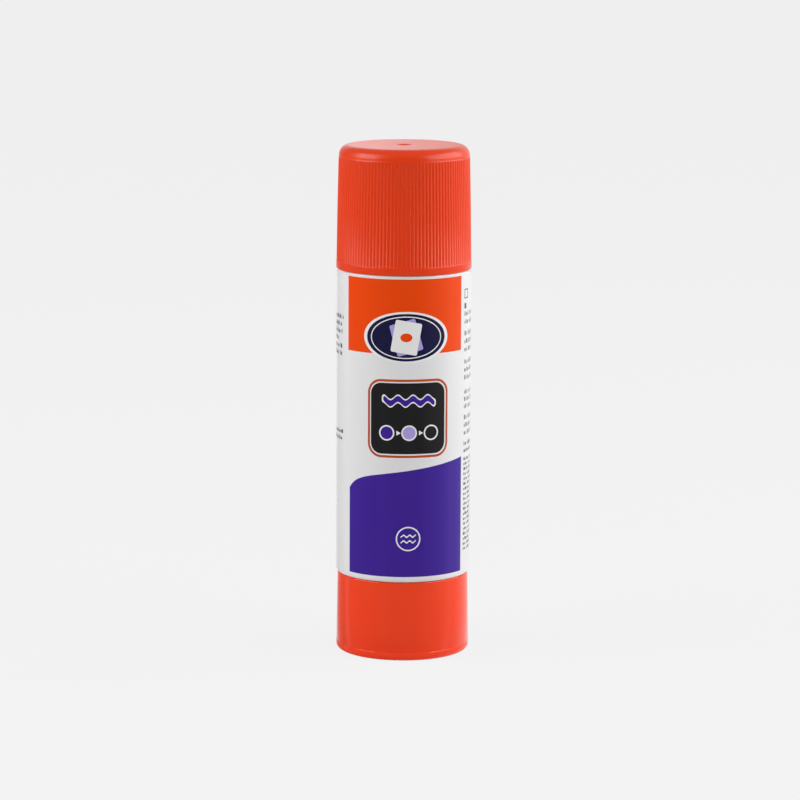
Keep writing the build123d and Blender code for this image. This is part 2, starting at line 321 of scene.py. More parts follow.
def makeSky():
    world = bpy.data.worlds.new("studio")
    bpy.context.scene.world = world
    world.use_nodes = True
    nodes = world.node_tree.nodes
    nodes.clear()
    soft = nodes.new("ShaderNodeBackground")
    soft.inputs["Color"].default_value = (1, 1, 1, 1)
    soft.inputs["Strength"].default_value = stage["skyStrength"]
    backdrop = nodes.new("ShaderNodeBackground")
    backdrop.inputs["Color"].default_value = (stage["backgroundTone"],) * 3 + (1,)
    mirrored = nodes.new("ShaderNodeBackground")
    tone = roomTone(world.node_tree)
    seen = nodes.new("ShaderNodeLightPath")
    glossMix = nodes.new("ShaderNodeMixShader")
    cameraMix = nodes.new("ShaderNodeMixShader")
    output = nodes.new("ShaderNodeOutputWorld")
    wire = world.node_tree.links.new
    wire(tone, mirrored.inputs["Strength"])
    wire(seen.outputs["Is Glossy Ray"], glossMix.inputs["Fac"])
    wire(soft.outputs["Background"], glossMix.inputs[1])
    wire(mirrored.outputs["Background"], glossMix.inputs[2])
    wire(seen.outputs["Is Camera Ray"], cameraMix.inputs["Fac"])
    wire(glossMix.outputs["Shader"], cameraMix.inputs[1])
    wire(backdrop.outputs["Background"], cameraMix.inputs[2])
    wire(cameraMix.outputs["Shader"], output.inputs["Surface"])


# each lamp by its bearing from the front and its height angle, in degrees, its distance from
# the stick's middle, its width and height, and its watts
lamps = {
    "rightBox": {"bearing": 84, "raised": 28, "away": 620, "size": (860, 460), "power": 3.95},
    "leftBox": {"bearing": -73, "raised": 28, "away": 620, "size": (500, 420), "power": 2.6},
}


def makeLamps():
    for name, lamp in lamps.items():
        deselectAll()
        bearing = math.radians(lamp["bearing"])
        raised = math.radians(lamp["raised"])
        out = lamp["away"] * mm * math.cos(raised)
        place = (
            out * math.sin(bearing), -out * math.cos(bearing),
            cadHigh[2] / 2 + lamp["away"] * mm * math.sin(raised),
        )
        bpy.ops.object.light_add(type="AREA", location=place)
        light = bpy.context.object
        light.name = name
        light.data.shape = "RECTANGLE"
        light.data.size = lamp["size"][0] * mm
        light.data.size_y = lamp["size"][1] * mm
        light.data.energy = lamp["power"]
        middle = (cadLow + cadHigh) / 2
        light.rotation_mode = "QUATERNION"
        light.rotation_quaternion = (middle - light.location).to_track_quat("-Z", "Y")


bpy.context.scene.view_settings.view_transform = "Standard"
makeCamera()
makeFloor()
makeSky()
makeLamps()
print("camera, floor and lamps placed")

# Finishes

def linear(red, green, blue):
    # screen colour, 0 to 255, as the linear colour that a shader takes
    def channel(value):
        value = value / 255
        return value / 12.92 if value <= 0.04045 else ((value + 0.055) / 1.055) ** 2.4
    return (channel(red), channel(green), channel(blue), 1)


def newGroup(name, inputs):
    # a surface group puts out a colour, a roughness and a height for the bump
    group = bpy.data.node_groups.new(name, "ShaderNodeTree")
    for title, kind, value in inputs:
        socket = group.interface.new_socket(title, in_out="INPUT", socket_type=kind)
        socket.default_value = value
    outputs = {
        "Color": "NodeSocketColor", "Roughness": "NodeSocketFloat", "Height": "NodeSocketFloat",
    }
    for title, kind in outputs.items():
        group.interface.new_socket(title, in_out="OUTPUT", socket_type=kind)
    return group, group.nodes.new("NodeGroupInput")


def closeGroup(group, color, lift, rough, height):
    # the colour leaves brighter or darker by the share that lift gives
    tint = group.nodes.new("ShaderNodeVectorMath")
    tint.operation = "SCALE"
    leave = group.nodes.new("NodeGroupOutput")
    group.links.new(color, tint.inputs[0])
    group.links.new(addMath(group, "ADD", lift, 1.0), tint.inputs["Scale"])
    group.links.new(tint.outputs[0], leave.inputs["Color"])
    group.links.new(rough, leave.inputs["Roughness"])
    group.links.new(height, leave.inputs["Height"])
    return group


def addNoise(tree, where, scale, detail, coarseness=0.5):
    noise = tree.nodes.new("ShaderNodeTexNoise")
    noise.inputs["Detail"].default_value = detail
    noise.inputs["Roughness"].default_value = coarseness
    tree.links.new(where, noise.inputs["Vector"])
    feed(tree, scale, noise.inputs["Scale"])
    return noise.outputs["Fac"]


def addSway(tree, noise, middle, amount):
    # how far a noise is off its middle, times the amount
    return addMath(tree, "MULTIPLY", addMath(tree, "SUBTRACT", noise, middle), amount)


plasticGrain = {
    # scales are in waves to the metre
    "cloudScale": 70.0,
    "cloudDetail": 3.0,
    "cloudMiddle": 0.5,
    "scuffScale": 420.0,
    "scuffDetail": 5.0,
    "scuffCoarseness": 0.65,
    "scuffMiddle": 0.45,
    "scuffStretch": (1, 1, 0.25),        # scuffs run up and down
    "grainDetail": 2.0,
}


def makeMouldedGroup():
    # faint cloudiness, fine grain and handling scuffs of moulded plastic
    group, entry = newGroup("mouldedSurface", [
        ("Color", "NodeSocketColor", (0.8, 0.8, 0.8, 1)),
        ("Cloudiness", "NodeSocketFloat", 0.05),
        ("Grain Scale", "NodeSocketFloat", 1500.0),
        ("Roughness", "NodeSocketFloat", 0.3),
        ("Scuffs", "NodeSocketFloat", 0.06),
    ])
    where = group.nodes.new("ShaderNodeTexCoord").outputs["Object"]
    cloud = addNoise(group, where, plasticGrain["cloudScale"], plasticGrain["cloudDetail"])
    lift = addSway(group, cloud, plasticGrain["cloudMiddle"], entry.outputs["Cloudiness"])
    stretched = group.nodes.new("ShaderNodeMapping")
    stretched.inputs["Scale"].default_value = plasticGrain["scuffStretch"]
    group.links.new(where, stretched.inputs["Vector"])
    scuff = addNoise(
        group, stretched.outputs["Vector"], plasticGrain["scuffScale"],
        plasticGrain["scuffDetail"], plasticGrain["scuffCoarseness"],
    )
    scuff = addSway(group, scuff, plasticGrain["scuffMiddle"], entry.outputs["Scuffs"])
    rough = addMath(group, "ADD", entry.outputs["Roughness"], scuff)
    grain = addNoise(group, where, entry.outputs["Grain Scale"], plasticGrain["grainDetail"])
    return closeGroup(group, entry.outputs["Color"], lift, rough, grain)


inkGrain = {
    "fineScale": 1900.0,
    "fineDetail": 3.0,
    "fineCoarseness": 0.6,
    "broadScale": 90.0,
    "broadDetail": 2.0,
    "middle": 0.25,                      # of the two noises multiplied
}


def makeInkGroup():
    # printed ink: a trace of mottle in its tone, and gloss that varies with it
    group, entry = newGroup("printedInk", [
        ("Color", "NodeSocketColor", (0.8, 0.8, 0.8, 1)),
        ("Mottle", "NodeSocketFloat", 0.05),
        ("Roughness", "NodeSocketFloat", 0.3),
    ])
    where = group.nodes.new("ShaderNodeTexCoord").outputs["Object"]
    fine = addNoise(
        group, where, inkGrain["fineScale"], inkGrain["fineDetail"], inkGrain["fineCoarseness"]
    )
    broad = addNoise(group, where, inkGrain["broadScale"], inkGrain["broadDetail"])
    both = addMath(group, "MULTIPLY", fine, broad)
    lift = addSway(group, both, inkGrain["middle"], entry.outputs["Mottle"])
    rough = addMath(group, "ADD", entry.outputs["Roughness"], lift)
    return closeGroup(group, entry.outputs["Color"], lift, rough, broad)


mouldedSurface = makeMouldedGroup()
printedInk = makeInkGroup()


def finishWith(group, name, values, bumpHeight, sockets):
    # one shader with its constant sockets set here, its varying ones fed by a group
    material = bpy.data.materials.new(name)
    material.use_nodes = True
    tree = material.node_tree
    shader = tree.nodes["Principled BSDF"]
    for title, value in sockets.items():
        shader.inputs[title].default_value = value
    surface = tree.nodes.new("ShaderNodeGroup")
    surface.node_tree = group
    for title, value in values.items():
        surface.inputs[title].default_value = value
    bump = tree.nodes.new("ShaderNodeBump")
    bump.inputs["Distance"].default_value = bumpHeight * mm
    tree.links.new(surface.outputs["Color"], shader.inputs["Base Color"])
    tree.links.new(surface.outputs["Roughness"], shader.inputs["Roughness"])
    tree.links.new(surface.outputs["Height"], bump.inputs["Height"])
    tree.links.new(bump.outputs["Normal"], shader.inputs["Normal"])
    return material


plastics = {
    # colours are screen colours, 0 to 255; the bump is in millimetres, a shader's own socket
    # in metres
    "redPlastic": {
        "color": (236, 62, 12), "cloudiness": 0.05, "grain": 1500, "roughness": 0.28,
        "scuffs": 0.05, "bump": 0.001, "sockets": {"IOR": 1.43},
    },
    # painted light: the knob's orange is set brighter than the cap's to stand for the stronger
    # light that falls on it; its lower roughness is its own
    "knobPlasticPaintedLight": {
        "color": (250, 70, 34), "cloudiness": 0.05, "grain": 1500, "roughness": 0.14,
        "scuffs": 0.06, "bump": 0.001, "sockets": {"IOR": 1.5},
    },
    "whitePlastic": {
        "color": (232, 231, 230), "cloudiness": 0.03, "grain": 1500, "roughness": 0.3,
        "scuffs": 0.06, "bump": 0.002, "sockets": {"IOR": 1.5},
    },
    "linerPlastic": {
        "color": (226, 226, 220), "cloudiness": 0.05, "grain": 1200, "roughness": 0.45,
        "scuffs": 0.1, "bump": 0.004, "sockets": {"IOR": 1.5},
    },
    "purpleGlue": {
        "color": (104, 66, 160), "cloudiness": 0.16, "grain": 600, "roughness": 0.42,
        "scuffs": 0.25, "bump": 0.03,
        "sockets": {"IOR": 1.45, "Subsurface Weight": 0.25, "Subsurface Scale": 0.002},
    },
}


def moulded(name, look):
    values = {
        "Color": linear(*look["color"]),
        "Cloudiness": look["cloudiness"],
        "Grain Scale": look["grain"],
        "Roughness": look["roughness"],
        "Scuffs": look["scuffs"],
    }
    return finishWith(mouldedSurface, name, values, look["bump"], look["sockets"])


inkBump = 0.01
inkSockets = {"IOR": 1.47}
inks = {
    # screen colour, mottle and roughness
    "labelFilm": ((233, 232, 233), 0.03, 0.17),
    "orangeInk": ((243, 72, 0), 0.06, 0.17),
    "purpleInk": ((65, 36, 150), 0.08, 0.17),
    "darkInk": ((36, 35, 37), 0.1, 0.19),
    "keylineInk": ((188, 80, 48), 0.06, 0.19),
    "navyInk": ((28, 27, 66), 0.08, 0.18),
    "whiteInk": ((240, 240, 240), 0.03, 0.19),
    "lilacInk": ((176, 160, 226), 0.05, 0.19),
    "greyInk": ((96, 95, 102), 0.06, 0.22),
    "paleGreyInk": ((132, 131, 138), 0.06, 0.22),
}


def inked(name, color, mottle, roughness):
    values = {"Color": linear(*color), "Mottle": mottle, "Roughness": roughness}
    return finishWith(printedInk, name, values, inkBump, inkSockets)


finishes = {name: moulded(name, look) for name, look in plastics.items()}
finishes.update({name: inked(name, *look) for name, look in inks.items()})


def dress(piece, finish):
    piece.data.materials.clear()
    piece.data.materials.append(finishes[finish])


print("finishes made")


# Cap

capSizes = {
    "rim": capFoot,
    "top": capTop,
    "lipRadius": capReach,
    "lipRound": 0.3,
    "lipSteps": 6,
    "ribsFoot": capFoot + 1.7,
    "ribsFootRadius": capReach - 0.08,
    "bellyHeight": capFoot + 13.3,       # the side draws in faster above this
    "bellyRadius": capReach - 0.25,
    "ribsTop": capTop - 2.5,
    "ribsTopRadius": capReach - 0.49,
    "ribCount": 116,
    "ribDepth": 0.125,
    "ribShares": (1, 0.82, 0.42, 0.1, 0, 0.1, 0.42, 0.82),     # groove's depth, column by column
    "ribEnd": 0.20,                      # length over which a groove comes up to the surface
    "ledge": 0.06,                       # the ribs stand proud of the crown's round by this
    "ledgeHeight": 0.16,
    "crownRound": 2.24,
    "crownSteps": 16,
    "crownShares": (0.9, 0.7, 0.45, 0.2),      # rings of the flat, as shares of its radius
    "crownDish": 0.05,
    "dimpleRadius": 1.75,
    "dimpleDepth": 0.42,
    "dimpleSteps": 6,
    "pipRadius": 0.35,
    "pipTaper": 0.8,
    "pipHeight": 0.1,
    "pipDome": 1.2,                      # height of its middle, as a share of its edge's
    "boreAtRim": capReach - 1.49,
    "boreAtCrown": capReach - 1.89,
    "innerRound": 0.9,
    "innerSteps": 6,
    "crownInside": capTop - 1.5,
    "snapRadius": capReach - 2.17,
    "snapMiddle": capFoot + 2.3,
    "snapHalf": 0.9,
    "guideFoot": capFoot + 4.2,
    "guideTop": capFoot + 13.2,
    "guideCount": 8,
    "guideHalfWidth": 0.45,
    "socketOuter": capReach - 2.67,
    "socketInner": capReach - 3.67,
    "socketFoot": capTop - 4.5,
    "softEdge": 0.1,
}


def capOutside():
    size = capSizes
    roundCentre = size["ribsTopRadius"] - size["ledge"] - size["crownRound"]
    lip = size["lipRound"]
    route = arc(size["lipRadius"] - lip, size["rim"] + lip, lip, -90, 0, size["lipSteps"])
    setback = size["lipRadius"] - size["ribsFootRadius"]
    route += [
        (size["lipRadius"], size["ribsFoot"] - 2 * setback - size["softEdge"]),
        (size["lipRadius"], size["ribsFoot"] - 2 * setback),
        (size["lipRadius"] - setback / 3, size["ribsFoot"] - setback / 2),
        (size["ribsFootRadius"], size["ribsFoot"]),
        (size["ribsFootRadius"], size["ribsFoot"] + size["ribEnd"]),
        (size["bellyRadius"], size["bellyHeight"]),
        (size["ribsTopRadius"], size["ribsTop"] - size["ribEnd"] - size["ledgeHeight"]),
        (size["ribsTopRadius"], size["ribsTop"] - size["ledgeHeight"]),
        (size["ribsTopRadius"] - size["ledge"], size["ribsTop"]),
    ]
    route += arc(
        roundCentre, size["top"] - size["crownRound"], size["crownRound"], 0, 90, size["crownSteps"]
    )
    for share in size["crownShares"]:
        route.append((roundCentre * share, size["top"] - size["crownDish"] * (1 - share)))
    floor = size["top"] - size["crownDish"]
    bowl = size["dimpleRadius"] - size["pipRadius"]
    route.append((size["dimpleRadius"] + size["softEdge"], floor))
    for step in range(size["dimpleSteps"] + 1):
        share = step / size["dimpleSteps"]
        drop = size["dimpleDepth"] * math.sin(math.pi / 2 * share)
        route.append((size["dimpleRadius"] - bowl * share, floor - drop))
    route += [
        (size["pipRadius"] * size["pipTaper"], floor - size["dimpleDepth"] + size["pipHeight"]),
        (0, floor - size["dimpleDepth"] + size["pipHeight"] * size["pipDome"]),
    ]
    return route


def capInside():
    size = capSizes
    edge = size["softEdge"]
    snapFoot = size["snapMiddle"] - size["snapHalf"]
    snapEnd = size["snapMiddle"] + size["snapHalf"]
    snapFlat = size["snapHalf"] / 2
    route = [
        (size["boreAtRim"] + 2 * edge, size["rim"]),
        (size["boreAtRim"], size["rim"] + 2 * edge),
        (size["boreAtRim"], snapFoot),
        (size["snapRadius"] + edge, size["snapMiddle"] - snapFlat - edge),
        (size["snapRadius"], size["snapMiddle"] - snapFlat),
        (size["snapRadius"], size["snapMiddle"] + snapFlat),
        (size["snapRadius"] + edge, size["snapMiddle"] + snapFlat + edge),
        (size["boreAtRim"], snapEnd),
        (boreRadius(size["guideFoot"]), size["guideFoot"]),
        (boreRadius(size["guideTop"]), size["guideTop"]),
    ]
    inner = size["innerRound"]
    route += arc(
        size["boreAtCrown"] - inner, size["crownInside"] - inner, inner, 0, 90, size["innerSteps"]
    )
    route += [
        (size["socketOuter"], size["crownInside"]),
        (size["socketOuter"], size["socketFoot"] + edge),
        (size["socketOuter"] - edge, size["socketFoot"]),
        (size["socketInner"] + edge, size["socketFoot"]),
        (size["socketInner"], size["socketFoot"] + edge),
        (size["socketInner"], size["crownInside"]),
        (0, size["crownInside"]),
    ]
    return route


def boreRadius(height):
    size = capSizes
    share = (height - size["rim"]) / (size["crownInside"] - size["rim"])
    return size["boreAtRim"] + (size["boreAtCrown"] - size["boreAtRim"]) * share


def carveRibs(cap, columns):
    # the columns of each groove are drawn in by their share of its depth
    size = capSizes
    middle = (size["ribsFootRadius"] + size["ribsTopRadius"]) / 2
    low = size["ribsFoot"] + size["ribEnd"] - hair
    high = size["ribsTop"] - size["ribEnd"] - size["ledgeHeight"] + hair
    perRib = len(size["ribShares"])
    for column, share in enumerate(size["ribShares"]):
        if share == 0:
            continue
        selectPoints(
            cap,
            lambda place: low < place.z / mm < high
            and radiusOf(place) > size["boreAtRim"] + size["softEdge"]
            and columnOf(place, columns) % perRib == column,
        )
        drawIn(1 - size["ribDepth"] * share / middle)
    bpy.ops.object.mode_set(mode="OBJECT")


def columnOf(place, columns):
    turn = math.atan2(place.y, place.x) / math.tau
    return round(turn * columns) % columns


wallTolerance = 0.2                      # a face this near the wall's radius is on the wall


def raiseGuides(piece, count, halfWidth, wallRadius, innerRadius, foot, top):
    # upright ribs on an inner wall: its faces there are extruded towards the axis
    step = math.tau / count

    def onGuide(place):
        if abs(radiusOf(place) - wallRadius) > wallTolerance:
            return False
        if not foot < place.z / mm < top:
            return False
        turn = math.atan2(place.y, place.x)
        offset = abs(turn - step * round(turn / step)) * wallRadius
        return offset < halfWidth

    selectFaces(piece, onGuide)
    bpy.ops.mesh.extrude_region_move(TRANSFORM_OT_translate={"value": (0, 0, 0)})
    drawIn(innerRadius / wallRadius)
    bpy.ops.object.mode_set(mode="OBJECT")


def makeCap():
    size = capSizes
    columns = size["ribCount"] * len(size["ribShares"])
    start = ((size["boreAtRim"] + size["lipRadius"]) / 2, size["rim"])
    cap = turnPiece("cap_shell", columns, start, [capOutside(), capInside()])
    carveRibs(cap, columns)
    wall = boreRadius((size["guideFoot"] + size["guideTop"]) / 2)
    raiseGuides(
        cap, size["guideCount"], size["guideHalfWidth"], wall, size["snapRadius"],
        size["guideFoot"], size["guideTop"],
    )
    smoothOver(cap)
    dress(cap, "redPlastic")
    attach(cap, "cap")
    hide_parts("cap")


makeCap()
print("cap made")


# Turning knob

knobSizes = {
    "height": barrelFoot - 0.1,
    "topRadius": knobReach - 0.29,
    "footRadius": knobReach,
    "footRound": 1.0,
    "footSteps": 10,
    "edgeRound": 0.25,
    "edgeSteps": 5,
    "ringInner": knobReach - 2.18,
    "recess": 0.8,
    "lineHeight": 1.9,                   # of a faint moulded line round the knob
    "lineHalf": 0.14,
    "lineDepth": 0.05,
    "lineShape": ((-1, 0), (-0.5, 0.7), (0, 1), (0.5, 0.7), (1, 0)),    # height and depth
    "collarOuter": barrelReach - 1.3,
    "collarInner": barrelReach - 2.13,
    "collarTop": knobTop,
    "beadMiddle": barrelFoot + 3.875,
    "beadHalf": 0.6,
    "beadRadius": barrelReach - 0.95,
    "floorTop": 2.3,
    "bossRadius": 4.68,                  # the lead screw's shank stands in this boss
    "socketRadius": 2.92,
    "socketFloor": 5.8,
    "gateRingRadius": 4.2,
    "gateRingDepth": 0.12,
    "pipRadius": 0.6,
    "pipTaper": 0.8,
    "pipHeight": 0.2,
    "softEdge": 0.1,
}


def knobOutside():
    size = knobSizes
    edge = size["softEdge"]
    foot = size["footRound"]
    route = arc(size["footRadius"] - foot, foot, foot, -90, 0, size["footSteps"])
    for offset, share in size["lineShape"]:
        height = size["lineHeight"] + offset * size["lineHalf"]
        route.append((gripRadius(height) - share * size["lineDepth"], height))
    route.append((gripRadius(size["height"] / 2), size["height"] / 2))
    corner = size["edgeRound"]
    route += arc(
        size["topRadius"] - corner, size["height"] - corner, corner, 0, 90, size["edgeSteps"]
    )
    route += [
        (size["collarOuter"], size["height"]),
        (size["collarOuter"], size["beadMiddle"] - size["beadHalf"]),
        (size["beadRadius"], size["beadMiddle"] - size["beadHalf"] / 2),
        (size["beadRadius"], size["beadMiddle"] + size["beadHalf"] / 2),
        (size["collarOuter"], size["beadMiddle"] + size["beadHalf"]),
        (size["collarOuter"], size["collarTop"] - edge),
        (size["collarOuter"] - edge, size["collarTop"]),
        (size["collarInner"] + edge, size["collarTop"]),
        (size["collarInner"], size["collarTop"] - edge),
        (size["collarInner"], size["floorTop"]),
        (size["bossRadius"], size["floorTop"]),
        (size["bossRadius"], size["height"]),
        (size["socketRadius"], size["height"]),
        (size["socketRadius"], size["socketFloor"]),
        (0, size["socketFloor"]),
    ]
    return route


def gripRadius(height):
    size = knobSizes
    share = height / size["height"]
    return size["footRadius"] + (size["topRadius"] - size["footRadius"]) * share


def knobUnderside():
    size = knobSizes
    edge = size["softEdge"]
    ring = size["gateRingRadius"]
    deep = size["recess"] + size["gateRingDepth"]
    return [
        (size["ringInner"] + edge, 0),
        (size["ringInner"], edge),
        (size["ringInner"] - size["recess"] + edge, size["recess"] - edge),
        (size["ringInner"] - size["recess"] - edge, size["recess"]),
        (ring + edge, size["recess"]),
        (ring, size["recess"] + edge / 2),
        (ring - edge, deep),
        (size["pipRadius"], deep),
        (size["pipRadius"] * size["pipTaper"], deep - size["pipHeight"]),
        (0, deep - size["pipHeight"]),
    ]


def makeKnob():
    size = knobSizes
    start = ((size["ringInner"] + size["footRadius"] - size["footRound"]) / 2, 0)
    knob = turnPiece("knob_grip", circleSteps, start, [knobOutside(), knobUnderside()])
    smoothOver(knob)
    # its finish carries painted light in an orange brighter than the cap's
    dress(knob, "knobPlasticPaintedLight")
    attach(knob, "knob")
    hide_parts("knob")


makeKnob()
print("knob made")


# Barrel with its neck

barrelSizes = {
    "radius": barrelReach,
    "foot": barrelFoot,
    "shoulder": barrelTop - 12,
    "edgeRound": 0.3,
    "edgeSteps": 5,
    "neckRadius": barrelReach - 2.33,
    "neckFillet": 0.25,
    "mouth": barrelTop,
    "lipRound": 0.4,
    "lipSteps": 6,
    "beadMiddle": barrelTop - 7.4,
    "beadHalf": 0.8,
    "beadSize": 0.25,
    "beadSteps": 8,
    "bore": barrelReach - 3.43,
    "tubeFoot": barrelFoot + 1.4,
    "wallInside": barrelReach - 1.1,
    "shoulderUnder": barrelTop - 13.4,
    "guideCount": 4,
    "guideHalfWidth": 0.6,
    "guideRadius": barrelReach - 4.03,
    "guideTop": barrelTop - 3,
}


def barrelRoute():
    size = barrelSizes
    steps = size["edgeSteps"]
    edge = size["edgeRound"]
    route = arc(size["radius"] - edge, size["foot"] + edge, edge, -90, 0, steps)
    route += arc(size["radius"] - edge, size["shoulder"] - edge, edge, 0, 90, steps)
    fillet = size["neckFillet"]
    route += arc(size["neckRadius"] + fillet, size["shoulder"] + fillet, fillet, -90, -180, steps)
    for step in range(size["beadSteps"] + 1):
        share = step / size["beadSteps"]
        height = size["beadMiddle"] + size["beadHalf"] * (2 * share - 1)
        route.append((size["neckRadius"] + size["beadSize"] * math.sin(math.pi * share), height))
    lip = size["lipRound"]
    route += arc(size["neckRadius"] - lip, size["mouth"] - lip, lip, 0, 90, size["lipSteps"])
    route += arc(size["bore"] + lip, size["mouth"] - lip, lip, 90, 180, size["lipSteps"])
    route += [
        (size["bore"], size["guideTop"]),
        (size["bore"], size["tubeFoot"]),
        (size["neckRadius"], size["tubeFoot"]),
        (size["neckRadius"], size["shoulderUnder"]),
        (size["wallInside"], size["shoulderUnder"]),
        (size["wallInside"], size["foot"]),
        ((size["wallInside"] + size["radius"]) / 2, size["foot"]),
    ]
    return route


def makeBarrel():
    size = barrelSizes
    start = ((size["wallInside"] + size["radius"]) / 2, size["foot"])
    barrel = turnPiece("barrel_body", circleSteps, start, [barrelRoute()])
    raiseGuides(
        barrel, size["guideCount"], size["guideHalfWidth"], size["bore"], size["guideRadius"],
        size["tubeFoot"], size["guideTop"],
    )
    smoothOver(barrel)
    dress(barrel, "whitePlastic")
    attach(barrel, "barrel")
    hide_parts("barrel")


makeBarrel()
print("barrel made")


# Glue

glueSizes = {
    "radius": barrelReach - 3.58,
    "top": glueTop,
    "crown": 0.5,
    "crownShares": (0.85, 0.6, 0.35, 0.15),    # rings of the crown, as shares of its radius
    "edgeRound": 0.9,
    "edgeSteps": 8,
    "foot": glueFoot + 5.5,
    "seatRadius": barrelReach - 4.43,
    "seat": glueFoot,
    "hubRadius": 5.25,
    "hubTop": glueFoot + 3,
    "boreRadius": 3.6,
    "boreTop": glueTop - 4,
    "grooveCount": 4,
    "grooveHalf": 0.8,
    "grooveFloor": barrelReach - 4.23,
}


def makeGlue():
    size = glueSizes
    start = (size["radius"], (size["foot"] + size["top"]) / 2)
    edge = size["top"] - size["crown"]
    roundCentre = size["radius"] - size["edgeRound"]
    up = arc(roundCentre, edge - size["edgeRound"], size["edgeRound"], 0, 90, size["edgeSteps"])
    for share in size["crownShares"]:
        up.append((roundCentre * share, edge + size["crown"] * (1 - share * share)))
    up.append((0, size["top"]))
    down = [
        (size["radius"], size["foot"]),
        (size["seatRadius"], size["foot"]),
        (size["seatRadius"], size["seat"]),
        (size["hubRadius"], size["seat"]),
        (size["hubRadius"], size["hubTop"]),
        (size["boreRadius"], size["hubTop"]),
        (size["boreRadius"], size["boreTop"]),
        (0, size["boreTop"]),
    ]
    glue = turnPiece("glue_block", circleSteps, start, [up, down])
    step = math.tau / size["grooveCount"]

    def inGroove(place):
        turn = math.atan2(place.y, place.x)
        offset = abs(turn - step * round(turn / step)) * size["radius"]
        return radiusOf(place) > size["grooveFloor"] + hair and offset < size["grooveHalf"]

    selectPoints(glue, inGroove)
    drawIn(size["grooveFloor"] / size["radius"])
    bpy.ops.object.mode_set(mode="OBJECT")
    smoothOver(glue)
    dress(glue, "purpleGlue")
    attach(glue, "carrier")
    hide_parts("glue_slug")


makeGlue()
print("glue made")


# Label: film and print are drawn flat, seen from the front, then bent round the barrel

labelSizes = {
    "innerRadius": labelReach - 0.1,
    "outerRadius": labelReach,
    "foot": labelFoot,
    "top": labelTop,
    "lap": 2.6,                          # one end lies over the other at the back
    "lapRamp": 0.8,
    "columnWidth": 0.4,
}


def bendRound(piece):
    # a flat sheet on the XZ plane becomes part of a cylinder whose front looks along -Y
    bpy.ops.object.mode_set(mode="OBJECT")
    radius = labelSizes["outerRadius"] * mm
    places = [point.co.x for point in piece.data.vertices]
    bend = piece.modifiers.new("bend", "SIMPLE_DEFORM")
    bend.deform_method = "BEND"
    bend.deform_axis = "Z"
    bend.angle = (max(places) - min(places)) / radius
    bpy.ops.object.modifier_apply(modifier=bend.name)
    piece.location.y = -radius
    bpy.ops.object.transform_apply(location=True, rotation=True, scale=True)


def makeFilm():
    deselectAll()
    around = math.tau * labelSizes["outerRadius"]
    width = around + labelSizes["lap"]
    columns = round(width / labelSizes["columnWidth"])
    # it starts at the back, goes all the way round and ends with the lap
    middle = (labelSizes["lap"] / 2 * mm, 0, (labelSizes["foot"] + labelSizes["top"]) / 2 * mm)
    bpy.ops.mesh.primitive_grid_add(
        x_subdivisions=columns, y_subdivisions=1, size=1,
        location=middle, rotation=(math.pi / 2, 0, 0),
    )
    film = nameIt("label_film")
    film.scale = (width * mm, (labelSizes["top"] - labelSizes["foot"]) * mm, 1)
    bpy.ops.object.transform_apply(location=True, rotation=True, scale=True)
    thickness = labelSizes["outerRadius"] - labelSizes["innerRadius"]
    bpy.ops.object.mode_set(mode="EDIT")
    bpy.ops.mesh.select_all(action="SELECT")
    bpy.ops.mesh.extrude_region_move(TRANSFORM_OT_translate={"value": (0, thickness * mm, 0)})
    # the lap comes out by half the film's thickness, in two steps of a short ramp
    lapStart = around / 2
    for share in (0.5, 1):
        rampStart = lapStart - labelSizes["lapRamp"] * (1 - share)
        selectPoints(film, lambda place: place.x / mm > rampStart)
        bpy.ops.transform.translate(value=(0, -thickness / 4 * mm, 0))
    closeUp()
    bendRound(film)
    smoothOver(film)
    dress(film, "labelFilm")
    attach(film, "barrel")
    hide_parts("label")


makeFilm()
print("label film made")


# Print on the film. Places are millimetres along the label from its front, then up from the table

inkLift = 0.008                          # each layer of ink stands this far above the one below
inkStep = 0.6                            # width of the columns that let a field bend
cornerSteps = 10
waveSteps = 20                           # columns to each wave of a squiggle


def startInk(name):
    deselectAll()
    bpy.ops.object.add(type="MESH", enter_editmode=True, location=(0, 0, 0))
    return nameIt(name)


def addPlate(field, tilt=0, corner=0):
    left, foot, right, top = field
    middle = ((left + right) / 2 * mm, 0, (foot + top) / 2 * mm)
    bpy.ops.mesh.primitive_plane_add(size=1, location=middle, rotation=(math.pi / 2, 0, 0))
    bpy.ops.transform.resize(
        value=((right - left) * mm, 1, (top - foot) * mm), center_override=middle
    )
    if tilt:
        bpy.ops.transform.rotate(
            value=math.radians(tilt), orient_axis="Y", center_override=middle
        )
    if corner:
        bpy.ops.mesh.bevel(offset=corner * mm, segments=cornerSteps, affect="VERTICES")
        bpy.ops.mesh.select_linked()


def addOval(place, radius, stretch=1, points=64):
    middle = (place[0] * mm, 0, place[1] * mm)
    bpy.ops.mesh.primitive_circle_add(
        vertices=points, radius=radius * mm, fill_type="NGON",
        location=middle, rotation=(math.pi / 2, 0, 0),
    )
    bpy.ops.transform.resize(value=(stretch, 1, 1), center_override=middle)


def keepRim(width):
    bpy.ops.mesh.inset(thickness=width * mm)
    bpy.ops.mesh.delete(type="FACE")


def cutColumns(piece, step):
    bpy.ops.object.mode_set(mode="OBJECT")
    places = [point.co.x / mm for point in piece.data.vertices]
    bpy.ops.object.mode_set(mode="EDIT")
    low, high = min(places), max(places)
    count = max(1, round((high - low) / step))
    for index in range(1, count):
        cut = low + (high - low) * index / count
        bpy.ops.mesh.select_all(action="SELECT")
        bpy.ops.mesh.bisect(plane_co=(cut * mm, 0, 0), plane_no=(1, 0, 0))


def alongLabel(place):
    # to a micron, so that the points of one column agree
    return round(place.x / mm, 3)


def liftColumns(piece, step, wanted, rise):
    # the wanted points of each column go up by what rise gives for it
    cutColumns(piece, step)
    bpy.ops.object.mode_set(mode="OBJECT")
    for column in sorted({alongLabel(point.co) for point in piece.data.vertices}):
        selectPoints(piece, lambda place: alongLabel(place) == column and wanted(place))
        bpy.ops.transform.translate(value=(0, 0, rise(column) * mm))


